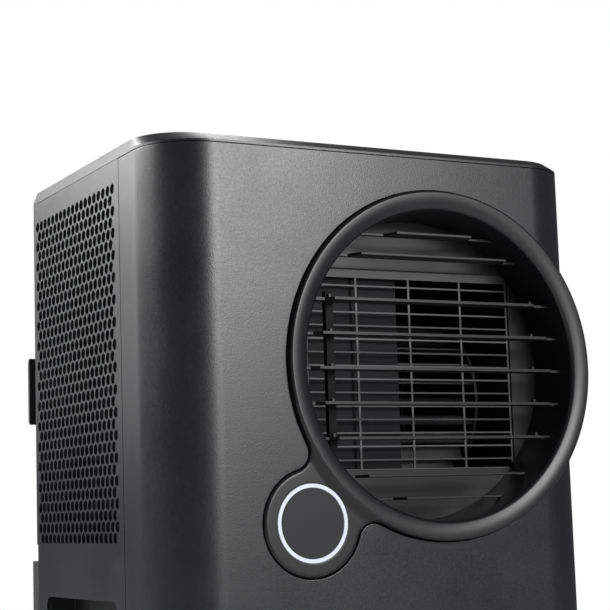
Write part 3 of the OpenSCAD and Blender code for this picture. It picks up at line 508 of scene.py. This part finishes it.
def numbered(borders):
    """The numbers of each border's points when the borders stand one after another in a list."""
    loops, first = [], 0
    for border in borders:
        loops.append(list(range(first, first + len(border))))
        first += len(border)
    return loops


def arc(x, y, r, first, last, steps):
    """Points from one angle to another round (x, y)."""
    angles = [math.radians(first + (last - first) * i / steps) for i in range(steps + 1)]
    return [(x + r * math.cos(a), y + r * math.sin(a)) for a in angles]


def around(x, z, r, steps, shift=0.0):
    """Evenly spaced points all round (x, z), turned by a share of one step."""
    angles = [2 * math.pi * (i + shift) / steps for i in range(steps)]
    return [(x + r * math.cos(a), z + r * math.sin(a)) for a in angles]


def outlet_loop(grow):
    """Points (x, z) round the collar and its lobe, grown by grow."""
    a, b = COLLAR_R + NECK_R, LOBE_R + NECK_R
    t = (a * a - b * b + REACH * REACH) / (2 * REACH)
    h = math.sqrt(a * a - t * t)
    at_collar = math.degrees(math.atan2(h, t))
    at_lobe = math.degrees(math.atan2(h, t - REACH))
    loop = arc(REACH, 0, LOBE_R + grow, -at_lobe, at_lobe, LOBE_STEPS)[:-1]
    loop += arc(t, h, NECK_R - grow, at_lobe + 180, at_collar + 180, NECK_STEPS)[:-1]
    loop += arc(0, 0, COLLAR_R + grow, at_collar, 360 - at_collar, RIM_STEPS)[:-1]
    loop += arc(t, -h, NECK_R - grow, 180 - at_collar, 180 - at_lobe, NECK_STEPS)[:-1]
    c, s = math.cos(LOBE_TURN), math.sin(LOBE_TURN)
    return [(AX + c * u - s * v, AZ + s * u + c * v) for u, v in loop]


def inside(loop):
    """A test of whether a flat point lies within a loop."""
    low_x, high_x = min(p[0] for p in loop), max(p[0] for p in loop)
    low_z, high_z = min(p[1] for p in loop), max(p[1] for p in loop)

    def test(p):
        if not (low_x < p[0] < high_x and low_z < p[1] < high_z):
            return False
        hit = False
        for (x0, z0), (x1, z1) in zip(loop, loop[1:] + loop[:1]):
            if (z0 > p[1]) != (z1 > p[1]) and p[0] < (x1 - x0) * (p[1] - z0) / (z1 - z0) + x0:
                hit = not hit
        return hit

    return test


def smooth_step(value, low, high):
    """0 up to low, 1 from high on, and a smooth rise between them."""
    t = min(max((value - low) / (high - low), 0.0), 1.0)
    return t * t * (3 - 2 * t)


# ---------- front cover ----------

COVER_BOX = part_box("front_cover")
COVER_HALF = COVER_BOX[1].x / MM
COVER_FLAT = COVER_HALF - FRONT_R               # half the width of the flat front
COVER_BEND = FRONT_R * math.pi / 2              # the length of a corner's arc
COVER_LAST = COVER_FLAT + COVER_BEND + (COVER_BOX[1].y - FRONT) / MM - FRONT_R      # middle to end
COVER_LOW, COVER_TOP = COVER_BOX[0].z / MM, COVER_BOX[1].z / MM
BEND_STEPS, FLAT_STEPS, SIDE_STEPS, HEIGHT_STEPS = 36, 30, 4, 110
GRID_GAP = 2.0          # the grid stays this far from the opening


def on_cover(s, z, depth):
    """The point at arc length s from the middle of the plan, at height z, depth inside the surface."""
    side = 1 if s > 0 else -1
    s = abs(s)
    if s <= COVER_FLAT:
        return point(side * s, depth, z)
    if s <= COVER_FLAT + COVER_BEND:
        turn = (s - COVER_FLAT) / FRONT_R
        reach = FRONT_R - depth
        return point(side * (COVER_FLAT + reach * math.sin(turn)), FRONT_R - reach * math.cos(turn), z)
    return point(side * (COVER_HALF - depth), FRONT_R + s - COVER_FLAT - COVER_BEND, z)


def length_at(x, depth):
    """Arc length of the plan at x on the surface at that depth."""
    if abs(x) <= COVER_FLAT:
        return x
    share = min((abs(x) - COVER_FLAT) / (FRONT_R - depth), 1.0)
    return math.copysign(COVER_FLAT + FRONT_R * math.asin(share), x)


def cover_grid():
    """Arc lengths of the cover's columns, close together in the bends, and heights of its rows."""
    end = COVER_LAST - COVER_EDGE
    side_length = end - COVER_FLAT - COVER_BEND
    columns = [-end, end]
    columns += [side * (COVER_FLAT + COVER_BEND * i / BEND_STEPS)
                for side in (-1, 1) for i in range(BEND_STEPS + 1)]
    columns += [-COVER_FLAT + 2 * COVER_FLAT * i / FLAT_STEPS for i in range(1, FLAT_STEPS)]
    columns += [side * (COVER_FLAT + COVER_BEND + side_length * i / SIDE_STEPS)
                for side in (-1, 1) for i in range(1, SIDE_STEPS)]
    height = COVER_TOP - COVER_LOW - 2 * COVER_EDGE
    rows = [COVER_LOW + COVER_EDGE + height * i / HEIGHT_STEPS for i in range(HEIGHT_STEPS + 1)]
    return sorted(columns), rows


def cover_border(columns, rows, inset):
    """The sheet's border, that far in from its edges; the points along each edge keep their places."""
    a, b = -COVER_LAST + inset, COVER_LAST - inset
    c, d = COVER_LOW + inset, COVER_TOP - inset
    ss = [a] + columns[1:-1] + [b]
    zs = [c] + rows[1:-1] + [d]
    return ([(s, c) for s in ss[:-1]] + [(b, z) for z in zs[:-1]] + [(s, d) for s in ss[:0:-1]]
            + [(a, z) for z in zs[:0:-1]])


def cover_hole(grow, depth):
    """The outlet's opening on the surface at that depth, grown."""
    return [(length_at(x, depth), z) for x, z in outlet_loop(COLLAR_GAP + grow)]


def front_cover():
    """The front sheet with its upright corners and its opening, and a small radius on every border."""
    columns, rows = cover_grid()
    shell = Shell()
    sheets = []
    for depth, inset in ((0.0, COVER_EDGE), (WALL, 0.0)):
        border, hole = cover_border(columns, rows, inset), cover_hole(inset, depth)
        in_hole, near_hole = inside(hole), inside(cover_hole(inset + GRID_GAP, depth))
        grid = [(s, z) for s in columns[1:-1] for z in rows[1:-1] if not near_hole((s, z))]
        loops = numbered([border, hole])
        out, faces, where = triangles(border + hole + grid, loops, lambda p: not in_hole(p))
        ids = shell.add([on_cover(p[0], p[1], depth) for p in out])
        shell.faces += [tuple(ids[i] for i in f) for f in faces]
        sheets.append([[ids[where[i]] for i in loop] for loop in loops])
    outlines = (lambda inset, depth: cover_border(columns, rows, inset), cover_hole)
    for first, last, outline in zip(*sheets, outlines):
        rounded = []
        for inset, depth in EDGE_CURVE:
            inset, depth = COVER_EDGE * inset, COVER_EDGE * depth
            rounded.append(shell.add([on_cover(s, z, depth) for s, z in outline(inset, depth)]))
        shell.rows([first] + rounded + [last])
    made = dressed(shell.mesh("front_cover_shape"), "front_cover", COVER_SHARP)
    return applied(made, weighted(SHEET_WEIGHT))


# ---------- outlet collar ----------

LOBE_PITCH, LOBE_ROWS = 2.2, 60                 # the close grid on the lobe: spacing, and rows each way
ROW_SHARE = 0.866                               # its rows' spacing, as a share of the pitch
CREST_ROW, CREST_CLEAR = 0.5, 1.7               # outside the crest: a row of points, and the grid's start
HOLE_ROWS, HOLE_CLEAR = (1.3, 2.4), 1.8         # the same round the ring's hole
EDGE_CLEAR = 4.2                                # the grid ends this far inside the skin's outline


def skin_y(x, z):
    """y of the skin before its edge is rounded: a flat rim that falls off to the lobe's plane."""
    r = math.hypot(x - AX, z - AZ)
    away = abs((math.degrees(math.atan2(z - AZ, x - AX) - LOBE_TURN) + 180) % 360 - 180)
    t = min((r - CREST_R) / CREST_FALL, 1.0)
    flowing = LIP_Y + (LOBE_Y - LIP_Y) * (1 - math.cos(math.pi * t)) / 2
    return flowing + (LIP_Y - flowing) * smooth_step(away, *LOBE_SPAN)


def moved(base, inward, by):
    """The outline's points, moved inward."""
    return [(x + u * by, z + v * by) for (x, z), (u, v) in zip(base, inward)]


def corner_rows(base, inward):
    """Rows of (x, z, y) over the skin's rounded outer edge, from the side wall to the front."""
    first, last = CORNER_SPAN
    rows = []
    for angle in CORNER_ANGLES:
        turn = math.radians(angle)
        row = []
        for (x0, z0), (u, v) in zip(base, inward):
            growth = smooth_step(math.hypot(x0 - AX, z0 - AZ), COLLAR_R + first, COLLAR_R + last)
            radius = CORNER + growth
            depth = radius * (1 - math.cos(turn))
            x, z = x0 + u * depth, z0 + v * depth
            row.append((x, z, skin_y(x, z) + radius * (1 - math.sin(turn))))
        rows.append(row)
    return rows


def skin_grid(base, inward):
    """Inner points of the front sheet: a row by the crest, a close grid, and rows round the ring's hole."""
    grid = around(AX, AZ, CREST_R + CREST_ROW, COLLAR_STEPS, 0.5)
    within = inside(moved(base, inward, EDGE_CLEAR))
    for i in range(-LOBE_ROWS, LOBE_ROWS + 1):
        for j in range(-LOBE_ROWS, LOBE_ROWS + 1):
            x, z = BX + LOBE_PITCH * (i + 0.5 * (j % 2)), BZ + LOBE_PITCH * ROW_SHARE * j
            off_crest = math.hypot(x - AX, z - AZ) > CREST_R + CREST_CLEAR
            off_hole = math.hypot(x - BX, z - BZ) > RING_HOLE + HOLE_CLEAR
            if off_crest and off_hole and within((x, z)):
                grid.append((x, z))
    for gap in HOLE_ROWS:
        grid += around(BX, BZ, RING_HOLE + gap, HOLE_STEPS, 0.5)
    return grid


def skin_sheets(shell, borders, grid):
    """Front and back sheet between the outer border, the crest and the ring's hole.

    For each border it gives its points on the front and on the back.
    """
    loops = numbered(borders)
    in_edge, in_crest, in_hole = (inside(border) for border in borders)

    def on_skin(p):
        return in_edge(p) and not in_crest(p) and not in_hole(p)

    out, faces, where = triangles(sum(borders, []) + grid, loops, on_skin)
    sides = []
    for depth in (0.0, SKIN):
        ids = shell.add([point(p[0], skin_y(p[0], p[1]) + depth, p[1]) for p in out])
        shell.faces += [tuple(ids[i] for i in f) for f in faces]
        sides.append([[ids[where[i]] for i in loop] for loop in loops])
    return zip(*sides)


def skin_side(shell, edge, corner, base, inward):
    """The rounded outer edge, the side wall and its return to the back sheet."""
    front, back = edge
    rows = [shell.add([point(x, y, z) for x, z, y in row]) for row in corner[-2::-1]]
    rows.append(shell.ring(base, LOBE_BACK))
    rows.append(shell.ring(moved(base, inward, SKIN), LOBE_BACK))
    shell.rows([front] + rows + [back])


def hole_rim(shell, hole):
    """The rounded edge and the wall of the ring's hole."""
    front, back = hole
    profile = ((RING_HOLE + HOLE_ROUND, LOBE_Y + HOLE_ROUND), (RING_HOLE, LOBE_Y + HOLE_EDGE),
               (RING_HOLE, LOBE_Y + SKIN - HOLE_BACK))
    shell.rows([front] + [shell.ring(around(BX, BZ, r, HOLE_STEPS), y) for r, y in profile] + [back])


def collar_ring(shell, r, y):
    """A ring of points round the collar's axis."""
    return shell.ring(around(AX, AZ, r, COLLAR_STEPS), y)


def rim_section(angle, skin=0.0):
    """Radius and y on the rim's section: a broad curve that tightens as it turns into the throat."""
    a, first = math.radians(angle), math.radians(RIM_END)
    tight = angle > RIM_END
    shift = RIM_R - ROLL_R if tight else 0.0
    radius = (ROLL_R if tight else RIM_R) - skin
    return (CREST_R - shift * math.sin(first) - radius * math.sin(a),
            LIP_Y + RIM_R - shift * math.cos(first) - radius * math.cos(a))


def throat(shell, crest):
    """The rim inside its crest, the throat, and the back of both."""
    front, back = crest
    profile = [rim_section(angle) for angle in RIM_ANGLES]
    profile += [(THROAT_R + THROAT_FLARE, FLARE_Y), (THROAT_R, STRAIGHT_Y),
                (THROAT_R, COLLAR_D - THROAT_EDGE), (THROAT_R + THROAT_EDGE, COLLAR_D),
                (THROAT_R + SKIN, COLLAR_D), (THROAT_R + SKIN, STRAIGHT_Y),
                (THROAT_R + THROAT_FLARE + SKIN, FLARE_Y)]
    profile += [rim_section(angle, SKIN) for angle in RIM_BACK_ANGLES]
    shell.rows([front] + [collar_ring(shell, r, y) for r, y in profile] + [back])


def outer_wall(shell):
    """The collar's outer wall, behind the skin."""
    outer, inner = COLLAR_R - OUTER_INSET, COLLAR_R - SKIN
    profile = ((outer, OUTER_Y), (outer, COLLAR_D), (inner, COLLAR_D), (inner, OUTER_Y))
    wall = [collar_ring(shell, r, y) for r, y in profile]
    shell.rows(wall + wall[:1])


def board_posts(shell):
    """Posts that carry the button's board."""
    board = (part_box("button_board")[0].y - FRONT) / MM + BOARD_FACE
    profile = ((POST_TIP, POST_Y), (POST_R, POST_Y), (POST_R, board - POST_EDGE), (POST_R - POST_EDGE, board),
               (POST_TIP, board))
    for angle in POST_ANGLES:
        x = BX + POST_CIRCLE * math.cos(math.radians(angle))
        z = BZ + POST_CIRCLE * math.sin(math.radians(angle))
        rings = [shell.ring(around(x, z, r, POST_STEPS), y) for r, y in profile]
        shell.rows(rings)
        shell.faces += [tuple(rings[0]), tuple(reversed(rings[-1]))]


def outlet_collar():
    """Collar and lobe as one flowing skin, with the throat, the outer wall and the board's posts."""
    shell = Shell()
    base = outlet_loop(0.0)
    inward = [(q[0] - p[0], q[1] - p[1]) for p, q in zip(base, outlet_loop(-1.0))]
    corner = corner_rows(base, inward)
    borders = [[(x, z) for x, z, _ in corner[-1]], around(AX, AZ, CREST_R, COLLAR_STEPS),
               around(BX, BZ, RING_HOLE + HOLE_EDGE, HOLE_STEPS)]
    edge, crest, hole = skin_sheets(shell, borders, skin_grid(base, inward))
    skin_side(shell, edge, corner, base, inward)
    hole_rim(shell, hole)
    throat(shell, crest)
    outer_wall(shell)
    board_posts(shell)
    made = dressed(shell.mesh("outlet_collar_shape"), "outlet_collar", COLLAR_SHARP)
    return applied(made, weighted(SHEET_WEIGHT))


# ---------- filter cloths ----------

# Distances of the side cloths from the side panel's front and top and from the grille's bottom.
CLOTH_FRONT, CLOTH_TOP, CLOTH_LOW = 6, 16, 2
# And from the inside of the panel's side wall and rear wall, and from the rear wall's inner end.
CLOTH_SIDE, CLOTH_BACK, CLOTH_INNER = 1.1, 1.5, 3
FRAME_BAR = 7           # from the filter frame's outer edge to its cloth


def pleated(name, body, path, z0, z1, pleats):
    """A thin pleated cloth that stands upright on a path of (x, y) points, with a body and a slot."""
    pitch, wave = pleats
    spots, normals = [], []
    for (x0, y0), (x1, y1) in zip(path, path[1:]):
        length = math.hypot(x1 - x0, y1 - y0)
        count = max(2, round(length / pitch))
        for i in range(count + (1 if (x1, y1) == path[-1] else 0)):
            spots.append((x0 + (x1 - x0) * i / count, y0 + (y1 - y0) * i / count))
            normals.append(((y1 - y0) / length, -(x1 - x0) / length))
    shell = Shell()
    sides = []
    for side in (0.0, CLOTH_THICK):
        rows = []
        for level in range(CLOTH_LEVELS + 1):
            z = z0 + (z1 - z0) * level / CLOTH_LEVELS
            row = []
            for i, ((x, y), (u, v)) in enumerate(zip(spots, normals)):
                out = side + wave * (i % 2)
                row.append(point(x + u * out, y + v * out, z))
            rows.append(shell.add(row))
        shell.rows(rows, closed=False)
        sides.append(rows)
    a, b = sides
    for k in (0, -1):
        shell.strip(a[k], b[k], closed=False)
    for k in (0, -1):
        shell.strip([r[k] for r in a], [r[k] for r in b], closed=False)
    made = linked(name, shell.mesh(name))
    made.data.materials.append(MATERIALS["filter_mesh"])
    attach(made, body)
    return made


def filter_cloths():
    """Cloth behind the holes of both side panels, and the rear filter's cloth in its frame."""
    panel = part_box("side_panel_right")
    x, back = panel[1].x / MM - WALL, (panel[1].y - FRONT) / MM - WALL
    inner = x - (panel[1].x - panel[0].x) / MM + WALL + CLOTH_INNER
    start = (panel[0].y - FRONT) / MM + CLOTH_FRONT
    low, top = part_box("rear_grille")[0].z / MM + CLOTH_LOW, panel[1].z / MM - CLOTH_TOP
    for side, name in ((-1, "left"), (1, "right")):
        path = [(side * (x - CLOTH_SIDE), start), (side * (x - CLOTH_SIDE), back - CLOTH_BACK),
                (side * inner, back - CLOTH_BACK)]
        pleated(f"intake_cloth_{name}", "casing", path[::side], low, top, PANEL_PLEATS)
    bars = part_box("air_filter")
    middle = ((bars[0].y + bars[1].y) / 2 - FRONT) / MM
    half = bars[1].x / MM - FRAME_BAR
    pleated("rear_filter_cloth", "filter_panel", [(-half, middle), (half, middle)],
            bars[0].z / MM + FRAME_BAR, bars[1].z / MM - FRAME_BAR, FILTER_PLEATS)


# ---------- the model ----------

# Edge radius, bevel segments, and the angle from which an edge is rounded.
ROUNDED = {
    "top_cover": (0.6, 3, 14.0), "light_ring": (0.35, 2, 30.0), "power_button": (0.5, 3, 30.0),
    "fixed_fins": (0.35, 2, 30.0), "louver_link": (0.5, 2, 30.0),
    "handle_cup_left": (1.0, 3, 30.0), "handle_cup_right": (1.0, 3, 30.0),
    "cable_hook_left": (1.2, 3, 30.0), "cable_hook_right": (1.2, 3, 30.0), "collar_insert": (0.4, 2, 30.0),
    "exhaust_spout": (0.8, 3, 30.0), "control_panel": (0.3, 2, 30.0),
}
ROUNDED |= {f"louver_{i}": (0.4, 2, 30.0) for i in range(1, 6)}
ROUNDED |= {f"caster_fork_{c}": (0.5, 2, 30.0) for c in ("fl", "fr", "rl", "rr")}
ROUNDED |= {f"caster_wheel_{c}": (0.5, 2, 30.0) for c in ("fl", "fr", "rl", "rr")}

front_cover()
outlet_collar()
filter_cloths()
for node, (width, segments, angle) in ROUNDED.items():
    refined(node, width, segments, angle)
for node, made in NODES.items():
    made.data.materials.clear()
    made.data.materials.append(MATERIALS[SLOTS[node]])


# ---------- camera, floor and light ----------

YAW, PITCH, ROLL = 27.818, 7.286, -1.820
EYE = (-0.7490, FRONT - 1.2608, 0.4079)         # metres
LENS, SENSOR, CLIP = 97.25, 36.0, 0.05
AIM, AIM_DISTANCE = Vector((0, 0, 0.6)), 2.4    # metres; where the lights point, and from how far
DIM = 0.088             # the white surroundings' strength for all but the camera
FLOOR_HALF = 3.0        # metres
LIGHTS = (              # name, azimuth, elevation, size in metres, power in watts
    ("front", -75, 19, 0.9, 46.0), ("front_low", -78, 4, 0.6, 9.0), ("left_back", 140, 30, 0.8, 70.0),
    ("left", 165, 30, 0.8, 42.0), ("left_rear", 122, 19, 0.5, 7.0), ("left_low", 122, 6, 0.5, 1.6),
    ("back", 75, 35, 1.0, 15.0),
)


def camera():
    """The photograph's viewpoint: from the left front, a little below the machine's middle."""
    yaw, pitch, roll = math.radians(YAW), math.radians(PITCH), math.radians(ROLL)
    ahead = Vector((math.sin(yaw) * math.cos(pitch), math.cos(yaw) * math.cos(pitch), math.sin(pitch)))
    right = Vector((math.cos(yaw), -math.sin(yaw), 0))
    up = right.cross(ahead)
    side = math.cos(roll) * right + math.sin(roll) * up
    top = math.cos(roll) * up - math.sin(roll) * right
    data = bpy.data.cameras.new("camera")
    data.lens = LENS
    data.sensor_width = SENSOR
    data.clip_start = CLIP
    made = linked("camera", data)
    made.matrix_world = Matrix.Translation(EYE) @ Matrix((side, top, -ahead)).transposed().to_4x4()
    bpy.context.scene.camera = made


def softbox(name, azimuth, elevation, size, power):
    """A square soft light that faces the machine's upper half, placed by its angles."""
    data = bpy.data.lights.new(name, "AREA")
    data.size = size
    data.energy = power
    made = linked(name, data)
    turn, rise = math.radians(azimuth), math.radians(elevation)
    away = Vector((math.cos(rise) * math.cos(turn), math.cos(rise) * math.sin(turn), math.sin(rise)))
    made.location = AIM + away * AIM_DISTANCE
    made.rotation_euler = (-away).to_track_quat("-Z", "Y").to_euler()


def world():
    """White behind the machine, dim for everything else, so that the softboxes shape it."""
    made = bpy.data.worlds.new("studio")
    made.use_nodes = True
    nodes, links = made.node_tree.nodes, made.node_tree.links
    nodes.clear()
    out = nodes.new("ShaderNodeOutputWorld")
    mix = nodes.new("ShaderNodeMixShader")
    path = nodes.new("ShaderNodeLightPath")
    dim, white = nodes.new("ShaderNodeBackground"), nodes.new("ShaderNodeBackground")
    dim.inputs["Color"].default_value = (1, 1, 1, 1)
    dim.inputs["Strength"].default_value = DIM
    white.inputs["Color"].default_value = (1, 1, 1, 1)
    links.new(path.outputs["Is Camera Ray"], mix.inputs["Fac"])
    links.new(dim.outputs["Background"], mix.inputs[1])
    links.new(white.outputs["Background"], mix.inputs[2])
    links.new(mix.outputs["Shader"], out.inputs["Surface"])
    bpy.context.scene.world = made


def floor():
    """A plain pale floor."""
    half = FLOOR_HALF
    mesh = bpy.data.meshes.new("floor")
    corners = [(-half, -half, 0), (half, -half, 0), (half, half, 0), (-half, half, 0)]
    mesh.from_pydata(corners, [], [(0, 1, 2, 3)])
    made = linked("floor", mesh)
    mesh.materials.append(moulded(
        "floor_paint", dark=(0.55, 0.55, 0.55), light=(0.60, 0.60, 0.60), rough=(0.7, 0.85),
        grain=60.0, depth=0.0002, strength=0.1))


camera()
world()
floor()
for light in LIGHTS:
    softbox(*light)
bpy.context.scene.view_settings.view_transform = "Standard"
